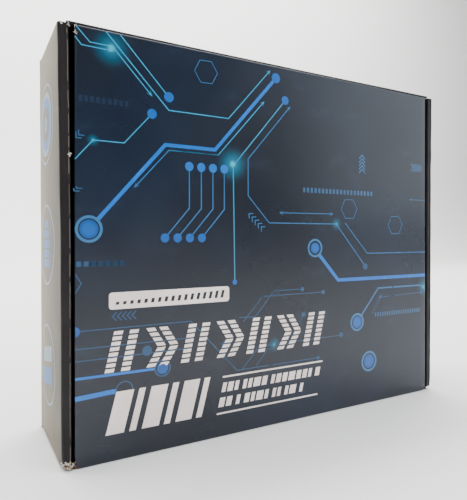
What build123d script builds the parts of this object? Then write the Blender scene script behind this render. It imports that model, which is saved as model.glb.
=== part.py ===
"""A boxed massage gun: a printed mailer carton that stands on its hinge wall, with a two-layer foam
tray inside that holds the gun and six massage heads.

Frame: millimetres, +Z up, the lid faces -Y, the origin is at the middle of the face that the carton
stands on. The lid turns about its lower edge and its tuck flap is at the top. The gun lies in the tray
with its barrel along X, its nose to -X and its handle down."""

from build123d import *
import math
import os

# ---------------------------------------------------------------- carton
CARTON_W = 263.0        # over the outer side walls
CARTON_H = 216.0        # from the hinge wall (the floor) to the tuck wall
CARTON_D = 64.0         # from the lid's face to the base panel's face
BOARD = 1.6             # corrugated board
ROLL_W = 5.0            # width of a side wall's rolled edge
LID_GAP = 1.5           # between the lid and a rolled edge
EDGE_FOLD = 1.1         # radius of a folded edge
SIDE_Z = (2.0, 214.2)   # height range of the side walls
CREASE_GAP = 0.15       # clearance in a fold's bevel
TUCK_L = 38.0           # tuck flap, from its fold to its free edge
TUCK_LEAN = 9.5         # degrees that the closed tuck flap leans into the box
EAR_L = 34.0
EAR_LEAN = 8.0
TAB_W = 30.0            # locking tabs of the inner side walls
TAB_Z = (62.0, 154.0)
FLAP_L = 38.0           # corner flaps, held between the two layers of a side wall

HALF_W = CARTON_W / 2
FACE_Y = -CARTON_D / 2
IN_Y = CARTON_D / 2 - BOARD         # inner faces of the lid and the base panel are at -IN_Y and IN_Y
WALL_IN = HALF_W - ROLL_W           # inner face of a side wall
LID_HALF = WALL_IN - LID_GAP
WALL_CLEAR = 0.05                   # corner flap to wall, each side
LID_TOP = CARTON_H - BOARD - 0.2    # the lid's upper fold lies just under the tuck wall

# ---------------------------------------------------------------- foam tray
BASE_LAYER_Y = 12.4     # the glue plane between the two layers
TOP_LAYER_Y = -10.0     # the tray's upper face
TOP_HALF_W = 117.4
TOP_LAYER_Z = (2.4, 205.4)
BASE_LAYER_Z = (1.8, 214.2)
BASE_HALF_W = 126.2
POCKET_GAP = 0.7
POCKET_R = 5.0

# ---------------------------------------------------------------- gun
AXIS_Z = 172.0          # the barrel's axis, which lies at Y = 0
BARREL_R = 25.0
WALL = 2.4              # housing wall
NOSE_X = -72.0          # front end of the housing
NOSE_R = 20.5
REAR_X = 66.0           # rear end of the housing
CRANK_X = 20.0          # crank axis and handle axis
NECK = (25.0, 22.8)     # half widths along X and Y
GRIP = (23.0, 19.0)
NECK_TOP, NECK_LOW, GRIP_TOP = AXIS_Z - 4.0, AXIS_Z - 36.0, AXIS_Z - 50.0
HANDLE_LOW = 17.0
LIGHT_LOW = 15.0
CAP_LOW = 9.0
SLEEVE_Z = (31.0, 117.0)
SLEEVE_T = 1.6

THROW = 5.0             # crank throw: the plunger's stroke is twice this
ROD_L = 36.0            # connecting rod, centre to centre
ROD_T = 5.0
PIN_R = 2.5             # gudgeon pin
PLUNGER_R = 11.0
PLUNGER_X = (-84.0, -4.0)
SOCKET_R = 8.0          # takes a massage head's shank
SOCKET_L = 22.0
BUSH_R = 14.0
BUSH_X = (-70.0, -40.0)
SHAFT_R = 2.5
TUBE_R = 6.0            # the stator's bearing tube
ROTOR_R = 18.6
SLIDE_FIT = 0.03
RUN_FIT = 0.02

BOSSES = [(-62.0, AXIS_Z + 18.4), (-62.0, AXIS_Z - 18.4), (52.0, AXIS_Z + 17.0),
          (52.0, AXIS_Z - 17.0), (CRANK_X, 124.0), (CRANK_X, 24.0)]
BOSS_R = 4.2
SCREW_R = 1.25
SCREW_HEAD_Y = 9.0      # underside of a screw's head

BUTTONS = {"minus_button": (-10.0, -12.0), "power_button": (0.0, -16.0), "plus_button": (10.0, -12.0)}
BUTTON_R = 3.0

# ---------------------------------------------------------------- massage heads
HEAD_Y = 2.0            # depth of the heads' axes
SHANK_R = 7.9
SHANK_L = 18.0
FLANGE_T = 2.5
HEAD_START = SHANK_L + FLANGE_T
# name: (shank end's x, z, direction the head points in, half width, length)
HEADS = {
    "ball_head": (-89.0, 9.0, "Z", 20.0, 58.5),
    "flat_head": (-37.0, 9.0, "Z", 20.0, 41.0),
    "fork_head": (-89.0, 77.0, "Z", 19.0, 57.0),
    "bullet_head": (-37.0, 77.0, "Z", 14.0, 58.0),
    "cushion_head": (54.0, 30.0, "X", 20.0, 54.0),
    "spade_head": (52.0, 80.0, "X", 18.6, 58.0),
}
CABLE_BAY = (52.0, 111.0, 108.0, 140.0)     # x from, to, z from, to: an empty bay


def block(x, y, z):
    """A box from three (low, high) pairs."""
    return Pos(sum(x) / 2, sum(y) / 2, sum(z) / 2) * Box(x[1] - x[0], y[1] - y[0], z[1] - z[0])


def both_sides(solid):
    """The solid and its mirror image in the YZ plane."""
    return solid, mirror(solid, Plane.YZ)


def rod_z(radius, z, x=0.0, y=0.0):
    """An upright cylinder between two heights."""
    return Pos(x, y, sum(z) / 2) * Cylinder(radius, z[1] - z[0])


def rod_x(radius, x, y=0.0, z=AXIS_Z):
    """A cylinder along X."""
    return Pos(sum(x) / 2, y, z) * Rot(0, 90, 0) * Cylinder(radius, x[1] - x[0])


def rod_y(radius, y, x, z):
    """A cylinder along Y."""
    return Pos(x, sum(y) / 2, z) * Rot(90, 0, 0) * Cylinder(radius, y[1] - y[0])


def oval(half, z, x=CRANK_X):
    """An upright column of elliptical section."""
    return Pos(x, 0, z[0]) * extrude(Ellipse(*half), z[1] - z[0])


# ================================================================ carton
def base_panel():
    """The tray's bottom, with four slots for the locking tabs."""
    panel = block((-HALF_W, HALF_W), (IN_Y, IN_Y + BOARD), (0.0, CARTON_H))
    for z in TAB_Z:
        slot = block((WALL_IN - WALL_CLEAR, WALL_IN + BOARD + WALL_CLEAR), (IN_Y - 1, IN_Y + BOARD + 1),
                     (z - TAB_W / 2 - 0.2, z + TAB_W / 2 + 0.2))
        for side in both_sides(slot):
            panel -= side
    return panel


def bevelled_wall(outline):
    """A wall across the carton, drawn in the YZ plane."""
    half = WALL_IN + 1.4
    return Pos(half, 0, 0) * extrude(Plane.YZ * make_face(Polyline(outline, close=True)), -2 * half)


def hinge_wall():
    """The wall that the lid hangs from and the carton stands on, bevelled where the lid folds."""
    start = FACE_Y + CREASE_GAP
    return bevelled_wall([(start, 0), (start + BOARD, BOARD), (IN_Y, BOARD), (IN_Y, 0)])


def tuck_wall():
    """The wall that the tuck flap slides behind. Its front edge stands back from the lid's face."""
    return block((-WALL_IN - 1.4, WALL_IN + 1.4), (FACE_Y + 0.9, IN_Y), (CARTON_H - BOARD, CARTON_H))


def outer_wall():
    return block((HALF_W - BOARD, HALF_W), (-IN_Y, IN_Y), SIDE_Z)


def rolled_edge():
    """The double fold that joins a side wall's two layers."""
    strip = block((WALL_IN, HALF_W), (FACE_Y, -IN_Y), SIDE_Z)
    return fillet(strip.edges().filter_by(Axis.Z).group_by(Axis.Y)[0], EDGE_FOLD)


def inner_wall():
    """The rolled-in layer, with two tabs that lock into the base panel."""
    wall = block((WALL_IN, WALL_IN + BOARD), (-IN_Y, IN_Y), (SIDE_Z[0] + 0.2, SIDE_Z[1]))
    for z in TAB_Z:
        wall += block((WALL_IN, WALL_IN + BOARD), (IN_Y - 1, IN_Y + BOARD), (z - TAB_W / 2, z + TAB_W / 2))
    return wall


def corner_flap(z_fold, upward):
    """A flap between the two layers of the right-hand side wall."""
    reach = z_fold + FLAP_L if upward else z_fold - FLAP_L
    flap = block((WALL_IN + BOARD + WALL_CLEAR, HALF_W - BOARD - WALL_CLEAR), (-IN_Y + 1.5, IN_Y - 1.5),
                 (min(z_fold, reach), max(z_fold, reach)))
    free = flap.edges().filter_by(Axis.X).sort_by(Axis.Z)
    return fillet(free[-2:] if upward else free[:2], 6.0)


def lid_panel():
    """The printed face, bevelled along its four sides where it folds."""
    gap = CREASE_GAP
    outer = [(-LID_HALF + gap, gap), (LID_HALF - gap, gap), (LID_HALF - gap, LID_TOP - gap),
             (-LID_HALF + gap, LID_TOP - gap)]
    face = Plane.XZ.offset(-FACE_Y) * make_face(Polyline(outer, close=True))
    return extrude(face, -BOARD, taper=45.0)


def bevelled_flap(outline, lean):
    """A flap drawn in its own plane: X across, Y from the fold to the free edge, and its outer layer
    towards +Z, with the fold's axis at Y = 0, Z = 0. At the fold it is bevelled to clear the lid."""
    flap = Pos(0, 0, -BOARD) * extrude(make_face(outline), BOARD)
    run = CREASE_GAP + BOARD / math.tan(math.radians(45 - lean))
    wedge = make_face(Polyline((CREASE_GAP, 0), (run, -BOARD), (run, -5), (-5, -5), (-5, 1), (CREASE_GAP, 1),
                               close=True))
    return flap - Pos(CARTON_W, 0, 0) * extrude(Plane.YZ * wedge, -2 * CARTON_W)


def tuck_flap():
    """Folds into the box under the tuck wall."""
    half, taper = LID_HALF - 7.0, 4.0
    outline = FilletPolyline([(-half, 0), (-half + taper, TUCK_L), (half - taper, TUCK_L), (half, 0)],
                             radius=12.0)
    flap = bevelled_flap([outline, Line(outline @ 1, outline @ 0)], TUCK_LEAN)
    return Pos(0, FACE_Y, LID_TOP) * Rot(-TUCK_LEAN, 0, 0) * flap


def right_ear():
    """The lid's right-hand side flap. Its lower end is cut away at 45 degrees, so that it clears the
    tray when the lid turns."""
    low, high = 14.0, LID_TOP - 10.0
    outline = FilletPolyline([(low, 0), (low + EAR_L, EAR_L), (high - 8, EAR_L), (high, 0)], radius=8.0)
    flap = bevelled_flap([outline, Line(outline @ 1, outline @ 0)], EAR_LEAN)
    upright = Plane(origin=(0, 0, 0), x_dir=(0, 0, -1), z_dir=(1, 0, 0)).location
    return Pos(LID_HALF, FACE_Y, 0) * Rot(0, 0, EAR_LEAN) * upright * mirror(flap, Plane.YZ)


# ================================================================ gun housing
def barrel(less=0.0, ends=0.0):
    """The barrel's solid, smaller all round by less and longer at each end by ends."""
    front, back = NOSE_X - ends, REAR_X + ends
    points = [(front, 0), (front, NOSE_R - less), (NOSE_X, NOSE_R - less), (NOSE_X + 14, BARREL_R - less),
              (back, BARREL_R - less), (back, 0)]
    if not ends:
        points.pop(2)
    outline = Plane.XZ * make_face(Polyline(points, close=True))
    return Pos(0, 0, AXIS_Z) * revolve(outline, Axis.X)


def handle(less=0.0, low=HANDLE_LOW):
    """Neck, taper and grip as one column."""
    neck, grip = ([h - less for h in half] for half in (NECK, GRIP))
    taper = loft([Pos(CRANK_X, 0, GRIP_TOP) * Ellipse(*grip), Pos(CRANK_X, 0, NECK_LOW) * Ellipse(*neck)])
    return oval(neck, (NECK_LOW, NECK_TOP)) + taper + oval(grip, (low, GRIP_TOP))


def bush_ribs():
    """Rings inside the barrel that hold the bush."""
    ribs = None
    for x in (-68.0, -56.0, -44.0):
        ring = rod_x(BARREL_R, (x, x + 2.5)) - rod_x(BUSH_R, (x - 1, x + 4))
        ribs = ring if ribs is None else ribs + ring
    return ribs


def housing():
    """Both halves of the housing, still in one, with screw bosses and vents."""
    inside = barrel(WALL, ends=1.0) + handle(WALL, low=HANDLE_LOW - 1)
    shell = barrel() + handle() - inside
    stuff = bush_ribs()
    for x, z in BOSSES:
        stuff += rod_y(BOSS_R, (-BARREL_R, BARREL_R), x, z)
    shell += stuff & (barrel(WALL / 2) + handle(WALL / 2))
    shell -= rod_x(BUSH_R, BUSH_X)
    for x, z in BOSSES:
        shell -= rod_y(SCREW_R + 0.35, (0, SCREW_HEAD_Y), x, z)
        shell -= rod_y(SCREW_R + RUN_FIT, (-SCREW_HEAD_Y - 1, 0), x, z)
        shell -= rod_y(3.0, (SCREW_HEAD_Y, BARREL_R + 1), x, z)
    vent = extrude(Plane.XZ * SlotOverall(16, 2.2), 7.0, both=True)
    for y in (-BARREL_R, BARREL_R):
        for n in range(5):
            shell -= Pos(38.0, y, AXIS_Z + 4.4 * (n - 2)) * vent
    return shell


def half_space(side):
    y = (-60, 0) if side < 0 else (0, 60)
    return block((-150, 150), y, (0, CARTON_H))


def grip_sleeve():
    """Soft ribbed grip over the handle."""
    outer = [h + SLEEVE_T for h in GRIP]
    waist = [h + 0.7 for h in outer]
    sleeve = oval(outer, SLEEVE_Z)
    pitch = 7.0
    count = int((SLEEVE_Z[1] - SLEEVE_Z[0] - 8) / pitch)
    for n in range(count):
        low = SLEEVE_Z[0] + 7 + pitch * n
        band = oval(waist, (low, low + 2.4)) - oval([h - 0.8 for h in outer], (low - 1, low + 4))
        sleeve -= band
    return sleeve - oval([h + 0.02 for h in GRIP], (SLEEVE_Z[0] - 1, SLEEVE_Z[1] + 1))


def rear_cap():
    """The barrel's rear cover, with a window for the display and three button holes."""
    cap = rod_x(BARREL_R, (REAR_X, REAR_X + 10))
    cap = fillet(cap.edges().filter_by(GeomType.CIRCLE).sort_by(Axis.X)[-1], 4.5)
    cap -= rod_x(BARREL_R - WALL, (REAR_X - 1, REAR_X + 7.2))
    cap -= lens_shape(0.15)
    cap -= block((REAR_X, REAR_X + 9), (-11.5, 11.5), (AXIS_Z - 1, AXIS_Z + 11))
    for y, z in BUTTONS.values():
        cap -= rod_x(BUTTON_R + 0.15, (REAR_X, REAR_X + 12), y, AXIS_Z + z)
    return cap


def lens_shape(extra=0.0):
    """The display's window, 1.2 mm thick."""
    face = Plane.YZ * RectangleRounded(28 + 2 * extra, 17 + 2 * extra, 3.5)
    return Pos(REAR_X + 8.8, 0, AXIS_Z + 5) * extrude(face, 1.2 + 4 * extra)


def button(y, z):
    """A key cap with a collar that stops it falling out."""
    cap = rod_x(BUTTON_R, (REAR_X, REAR_X + 11), y, AXIS_Z + z)
    cap = fillet(cap.edges().filter_by(GeomType.CIRCLE).sort_by(Axis.X)[-1], 0.8)
    return cap + rod_x(BUTTON_R + 1, (REAR_X + 5.2, REAR_X + 6.8), y, AXIS_Z + z)


def control_board():
    """A round board with its display module and three key switches."""
    board = rod_x(19.0, (60.0, 61.2)) - rod_x(2.0, (59, 62), 0, AXIS_Z + 15.0)
    parts = [board, block((61.2, 64.0), (-11, 11), (AXIS_Z - 0.5, AXIS_Z + 10.5)),
             block((57.8, 60.0), (-5, 5), (AXIS_Z - 8, AXIS_Z + 2))]
    for y, z in BUTTONS.values():
        parts.append(block((61.2, 65.0), (y - 2.8, y + 2.8), (AXIS_Z + z - 2.8, AXIS_Z + z + 2.8)))
    return parts


def nose_ring():
    outline = [(NOSE_X - 8, 13.5), (NOSE_X, 13.5), (NOSE_X, NOSE_R), (NOSE_X - 5, NOSE_R - 1.2),
               (NOSE_X - 8, NOSE_R - 4)]
    return Pos(0, 0, AXIS_Z) * revolve(Plane.XZ * make_face(Polyline(outline, close=True)), Axis.X)


def wiper_seal():
    return rod_x(13.5, (NOSE_X - 7, NOSE_X - 3)) - rod_x(PLUNGER_R + 0.1, (NOSE_X - 8, NOSE_X))


def bush():
    return rod_x(BUSH_R, BUSH_X) - rod_x(PLUNGER_R + SLIDE_FIT, (BUSH_X[0] - 1, BUSH_X[1] + 1))


def bottom_cap():
    """Closes the handle, with a slot for the charging port."""
    cap = oval(GRIP, (CAP_LOW, LIGHT_LOW))
    cap = fillet(cap.edges().sort_by(Axis.Z)[0], 3.0)
    cap -= oval([h - WALL for h in GRIP], (CAP_LOW + 3, LIGHT_LOW + 1))
    return cap - port_shape(0.1, (CAP_LOW - 1, LIGHT_LOW + 1))


def port_shape(extra, z):
    slot = SlotOverall(9.0 + 2 * extra, 3.3 + 2 * extra)
    return Pos(CRANK_X, 0, z[0]) * extrude(slot, z[1] - z[0])


def charging_port():
    """A metal socket with a thin tongue."""
    shell = port_shape(0.0, (CAP_LOW + 0.4, LIGHT_LOW + 3)) - port_shape(-0.35, (CAP_LOW, LIGHT_LOW + 1))
    return shell + block((CRANK_X - 3.2, CRANK_X + 3.2), (-0.35, 0.35), (CAP_LOW + 1.4, LIGHT_LOW + 1.5))


def light_ring():
    return oval(GRIP, (LIGHT_LOW, HANDLE_LOW)) - oval([h - WALL for h in GRIP], (LIGHT_LOW - 1, HANDLE_LOW + 1))


def housing_screws():
    screws = []
    for x, z in BOSSES:
        screw = rod_y(SCREW_R, (-SCREW_HEAD_Y, SCREW_HEAD_Y), x, z)
        screw += rod_y(2.7, (SCREW_HEAD_Y, SCREW_HEAD_Y + 2), x, z)
        screw -= Pos(x, SCREW_HEAD_Y + 2, z) * Box(3.4, 1.6, 0.7)
        screw -= Pos(x, SCREW_HEAD_Y + 2, z) * Box(0.7, 1.6, 3.4)
        screws.append(screw)
    return screws


# ================================================================ battery
CELL_R = 9.1            # two lithium cells, 18 mm across
CELL_L = 65.0
CELL_LOW = 43.0
CELL_X = 9.3            # each side of the handle's axis


def battery_cells():
    cells = []
    for x in (CRANK_X - CELL_X, CRANK_X + CELL_X):
        cell = rod_z(CELL_R, (CELL_LOW, CELL_LOW + CELL_L), x) + rod_z(3.0, (CELL_LOW, CELL_LOW + CELL_L + 0.8), x)
        cells.append(cell)
    return cells


def battery_holders():
    """Two end plates that the cells stand in."""
    half = [h - WALL - 0.4 for h in GRIP]
    low = oval(half, (CELL_LOW - 4, CELL_LOW + 4))
    high = oval(half, (CELL_LOW + CELL_L - 4, CELL_LOW + CELL_L + 4.8))
    for x in (CRANK_X - CELL_X, CRANK_X + CELL_X):
        low -= rod_z(CELL_R + 0.05, (CELL_LOW, CELL_LOW + 5), x)
        high -= rod_z(CELL_R + 0.05, (CELL_LOW + CELL_L - 5, CELL_LOW + CELL_L + 0.9), x)
    return [low, high]


def power_board():
    """The charging and motor driver board, beside the cells."""
    low, high = CELL_LOW + 6, CELL_LOW + CELL_L - 6
    board = block((CRANK_X - 10, CRANK_X + 10), (10.4, 11.6), (low, high))
    chips = [block((CRANK_X - 4, CRANK_X + 4), (11.6, 13.2), (z, z + 7)) for z in (low + 6, low + 22, low + 38)]
    return [board, *chips]


# ================================================================ motor and crank
def at_crank(solid, lift=0.0):
    """Moves a solid drawn about the origin to the crank axis."""
    return Pos(CRANK_X, 0, AXIS_Z + lift) * solid


def disc(radius, low, high):
    return Pos(0, 0, (low + high) / 2) * Cylinder(radius, high - low)


PLATE = (-12.0, -9.5)
STATOR = (-27.0, -15.0)
BELL = (-33.0, -13.0)
SHAFT_TOP = -4.4
N_TEETH = 9
N_MAGNETS = 12


def motor_mount():
    """The plate that the housing clamps, and the tube that the stator sits on."""
    plate = (barrel(WALL + 0.05) + handle(WALL + 0.05)) & at_crank(block((-24, 24), (-30, 30), PLATE))
    mount = plate + at_crank(disc(TUBE_R, -30.0, PLATE[0] + 1))
    return mount - at_crank(disc(5.0, -31.0, PLATE[1] + 1))


def motor_bearings():
    return [at_crank(disc(5.0, *z) - disc(SHAFT_R + RUN_FIT, z[0] - 1, z[1] + 1)) for z in ((-14.0, -10.0), (-30.0, -26.0))]


def tooth(width, r_in, r_out, z):
    return block((r_in, r_out), (-width / 2, width / 2), z)


def stator_core():
    core = disc(8.5, *STATOR)
    shoes = disc(14.8, *STATOR) - disc(13.2, STATOR[0] - 1, STATOR[1] + 1)
    for n in range(N_TEETH):
        turn = Rot(0, 0, 360 / N_TEETH * n)
        core += turn * tooth(3.0, 7.0, 14.0, STATOR)
        shoes -= turn * Rot(0, 0, 180 / N_TEETH) * tooth(1.6, 10.0, 16.0, (STATOR[0] - 1, STATOR[1] + 1))
    return at_crank(core + shoes - disc(TUBE_R, STATOR[0] - 1, STATOR[1] + 1))


def stator_coils():
    coils = []
    for n in range(N_TEETH):
        coil = tooth(5.0, 9.2, 12.8, (STATOR[0] - 1.8, STATOR[1] + 1.2))
        coil = fillet(coil.edges().filter_by(Axis.X), 1.2)
        coil -= tooth(3.04, 9.0, 13.0, (STATOR[0] - 0.02, STATOR[1] + 0.02))
        coils.append(at_crank(Rot(0, 0, 360 / N_TEETH * n) * coil))
    return coils


def rotor_bell():
    bell = disc(ROTOR_R, *BELL) - disc(16.8, BELL[0] + 2, BELL[1] + 1)
    bell += disc(5.0, BELL[0] - 3, BELL[0] + 1)
    for n in range(6):
        bell -= Rot(0, 0, 60 * n) * Pos(11, 0, 0) * disc(3.2, BELL[0] - 1, BELL[0] + 3)
    return at_crank(bell - disc(SHAFT_R, BELL[0] - 5, BELL[1]))


def rotor_magnets():
    magnets = []
    ring = disc(16.78, -28.0, -14.0) - disc(15.3, -29.0, -13.0)
    for n in range(N_MAGNETS):
        keep = block((10, 18), (-3.9, 3.9), (-30, -12))
        magnets.append(at_crank(Rot(0, 0, 360 / N_MAGNETS * n) * (ring & keep)))
    return magnets


def motor_shaft():
    return at_crank(disc(SHAFT_R, -38.0, SHAFT_TOP))


HUB = (-8.2, -4.2)


def crank_hub():
    """The eccentric: a disc with a counterweight opposite its pin."""
    hub = disc(12.0, *HUB)
    weight = disc(17.0, *HUB) & block((-18, -4), (-18, 18), HUB)
    pin = disc(3.0, HUB[1] - 1, 3.6) + disc(4.3, HUB[1] - 1, -ROD_T / 2 - 0.05)
    hub = hub + weight + Pos(THROW, 0, 0) * pin
    return at_crank(hub - disc(SHAFT_R, HUB[0] - 1, SHAFT_TOP))


def crank_washer():
    """Keeps the bearing on the crank pin."""
    ring = disc(4.4, ROD_T / 2 + 0.05, 3.5) - disc(3.0, 0, 5)
    return at_crank(Pos(THROW, 0, 0) * ring)


def crank_bearing():
    low, high = -ROD_T / 2, ROD_T / 2
    rings = [disc(4.6, low, high) - disc(3.0, low - 1, high + 1), disc(7.5, low, high) - disc(6.1, low - 1, high + 1)]
    balls = [Rot(0, 0, 45 * n) * Pos(5.35, 0, 0) * Sphere(0.72) for n in range(8)]
    return [at_crank(Pos(THROW, 0, 0) * piece) for piece in rings + balls]


def con_rod():
    """From the crank bearing to the gudgeon pin, along the barrel."""
    low, high = -ROD_T / 2, ROD_T / 2
    rod = disc(11.0, low, high) + block((-ROD_L, 0), (-3.8, 3.8), (low, high)) + Pos(-ROD_L, 0, 0) * disc(5.0, low, high)
    rod -= disc(7.5 + RUN_FIT, low - 1, high + 1)
    rod -= Pos(-ROD_L, 0, 0) * disc(PIN_R, low - 1, high + 1)
    return at_crank(Pos(THROW, 0, 0) * rod)


PIN_X = CRANK_X + THROW - ROD_L


def gudgeon_pin():
    """The pin, flush with the rod's eye, because this pivot is the loop's open one."""
    return rod_z(PIN_R, (AXIS_Z - ROD_T / 2, AXIS_Z + ROD_T / 2), PIN_X)


def plunger():
    """Slides in the bush: a clevis at the back, and at the front a socket for a head's shank."""
    body = rod_x(PLUNGER_R, PLUNGER_X)
    body = chamfer(body.edges().filter_by(GeomType.CIRCLE).sort_by(Axis.X)[0], 1.0)
    body -= rod_x(SOCKET_R, (PLUNGER_X[0] - 1, PLUNGER_X[0] + SOCKET_L))
    slot_end = PIN_X - 2 * THROW - 5.0 - 0.8
    half = ROD_T / 2 + 0.4
    body -= block((slot_end, 0), (-PLUNGER_R - 1, PLUNGER_R + 1), (AXIS_Z - half, AXIS_Z + half))
    return body - rod_z(PIN_R, (AXIS_Z - 20, AXIS_Z + 20), PIN_X)


# ================================================================ massage heads
def turned(points):
    """Revolves an outline given as (height, radius) points about the Z axis."""
    outline = Polyline([(r, h) for h, r in points], close=True)
    return revolve(Plane.XZ * make_face(outline), Axis.Z)


def soft_dome(points, top):
    """As turned, but with a smooth curve through the points, closed at the axis at height top."""
    curve = Spline([(r, h) for h, r in points] + [(0.0, top)], tangents=[(1, 0.3), (-1, 0)])
    sides = [Line((0, points[0][0]), (points[0][1], points[0][0])), curve, Line((0, top), (0, points[0][0]))]
    return revolve(Plane.XZ * make_face(sides), Axis.Z)


def shank():
    """The stem that plugs into the plunger, with a groove for its O-ring."""
    stem = disc(SHANK_R, 0, SHANK_L) - disc(5.0, -1, 15.0)
    stem -= disc(9.0, 6.0, 8.0) - disc(6.5, 5.0, 9.0)
    return chamfer(stem.edges().filter_by(GeomType.CIRCLE).sort_by(Axis.Z)[1], 0.6) + disc(13.0, SHANK_L, HEAD_START)


def o_ring():
    return Pos(0, 0, 7.0) * Torus(7.38, 0.85)


def ball_head():
    return Pos(0, 0, HEAD_START + 18) * Sphere(20.0) & block((-30, 30), (-30, 30), (HEAD_START, 70))


def flat_head():
    disc_head = turned([(HEAD_START, 0), (HEAD_START, 12), (26, 20), (41, 20), (41, 0)])
    return fillet(disc_head.edges().filter_by(GeomType.CIRCLE).group_by(Axis.Z)[-1], 3.0)


def bullet_head():
    return soft_dome([(HEAD_START, 11.0), (25.0, 13.8), (34.0, 13.0), (46.0, 8.0), (54.0, 5.0)], 58.0)


def fork_head():
    """A U with rounded prongs, for either side of the spine."""
    yoke = Rectangle(38, 14, align=(Align.CENTER, Align.MIN)) + Pos(-13, 13) * Rectangle(12, 18, align=(Align.CENTER, Align.MIN))
    yoke += Pos(13, 13) * Rectangle(12, 18, align=(Align.CENTER, Align.MIN))
    yoke += Pos(-13, 30.5) * Circle(6) + Pos(13, 30.5) * Circle(6)
    solid = Pos(0, 8, HEAD_START) * extrude(Plane.XZ * yoke, 16)
    return fillet(solid.edges().filter_by(Axis.Y).group_by(Axis.Z)[0], 5.0)


def cushion_head():
    """A soft bellows with a domed face."""
    rings = [(HEAD_START, 12.0), (25.0, 18.5), (28.0, 16.0), (31.0, 19.3), (34.0, 16.8), (37.0, 20.0), (45.0, 20.0)]
    sides = turned(rings + [(45.0, 0)])
    return sides + Pos(0, 0, 45) * soft_cap()


def soft_cap():
    """The dome on the cushion head, 9 mm high on a 20 mm radius."""
    rise, base = 9.0, 20.0
    radius = (rise**2 + base**2) / (2 * rise)
    return Pos(0, 0, rise - radius) * Sphere(radius) & block((-30, 30), (-30, 30), (0, 20))


def spade_head():
    """A wedge that thins to a blunt blade."""
    return loft([Pos(0, 0, HEAD_START) * RectangleRounded(24, 22, 10.5), Pos(0, 0, 38) * RectangleRounded(34, 16, 7.5),
                 Pos(0, 0, 56) * RectangleRounded(36, 7, 3.3)])


def place_head(name, solid):
    """Lays a head, drawn standing on its shank, in its pocket."""
    x, z, way, _, _ = HEADS[name]
    turn = Rot(0, 0, 0) if way == "Z" else Rot(0, 90, 0)
    return Pos(x, HEAD_Y, z) * turn * solid


# ================================================================ foam tray
def pocket(x, z, y_back, radius=POCKET_R):
    """A pocket with rounded corners, open to the lid."""
    face = Plane.XZ * RectangleRounded(x[1] - x[0], z[1] - z[0], radius)
    return Pos(sum(x) / 2, y_back, sum(z) / 2) * extrude(face, y_back - TOP_LAYER_Y + 5)


def pockets():
    """Everything that is cut out of the foam."""
    gap = POCKET_GAP
    wide = BARREL_R + gap
    cuts = [pocket((PLUNGER_X[0] - 15, NOSE_X - 5), (AXIS_Z - 14, AXIS_Z + 14), 16.0),
            pocket((NOSE_X - 8 - gap, REAR_X + 11 + gap), (AXIS_Z - wide, AXIS_Z + wide), wide),
            pocket((CRANK_X - NECK[0] - gap, CRANK_X + NECK[0] + gap), (CAP_LOW - 1, AXIS_Z), NECK[1] + gap),
            pocket(CABLE_BAY[:2], CABLE_BAY[2:], 22.8)]
    for x, z, way, half, length in HEADS.values():
        along, across = (-gap, length + gap), (-half - gap, half + gap)
        dx, dz = (across, along) if way == "Z" else (along, across)
        cuts.append(pocket((x + dx[0], x + dx[1]), (z + dz[0], z + dz[1]), HEAD_Y + half + 0.4))
    return cuts


def foam_layers():
    base = block((-BASE_HALF_W, BASE_HALF_W), (BASE_LAYER_Y, IN_Y - 0.2), BASE_LAYER_Z)
    top = block((-TOP_HALF_W, TOP_HALF_W), (TOP_LAYER_Y, BASE_LAYER_Y), TOP_LAYER_Z)
    for cut in pockets():
        base -= cut
        top -= cut
    return base, top


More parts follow.
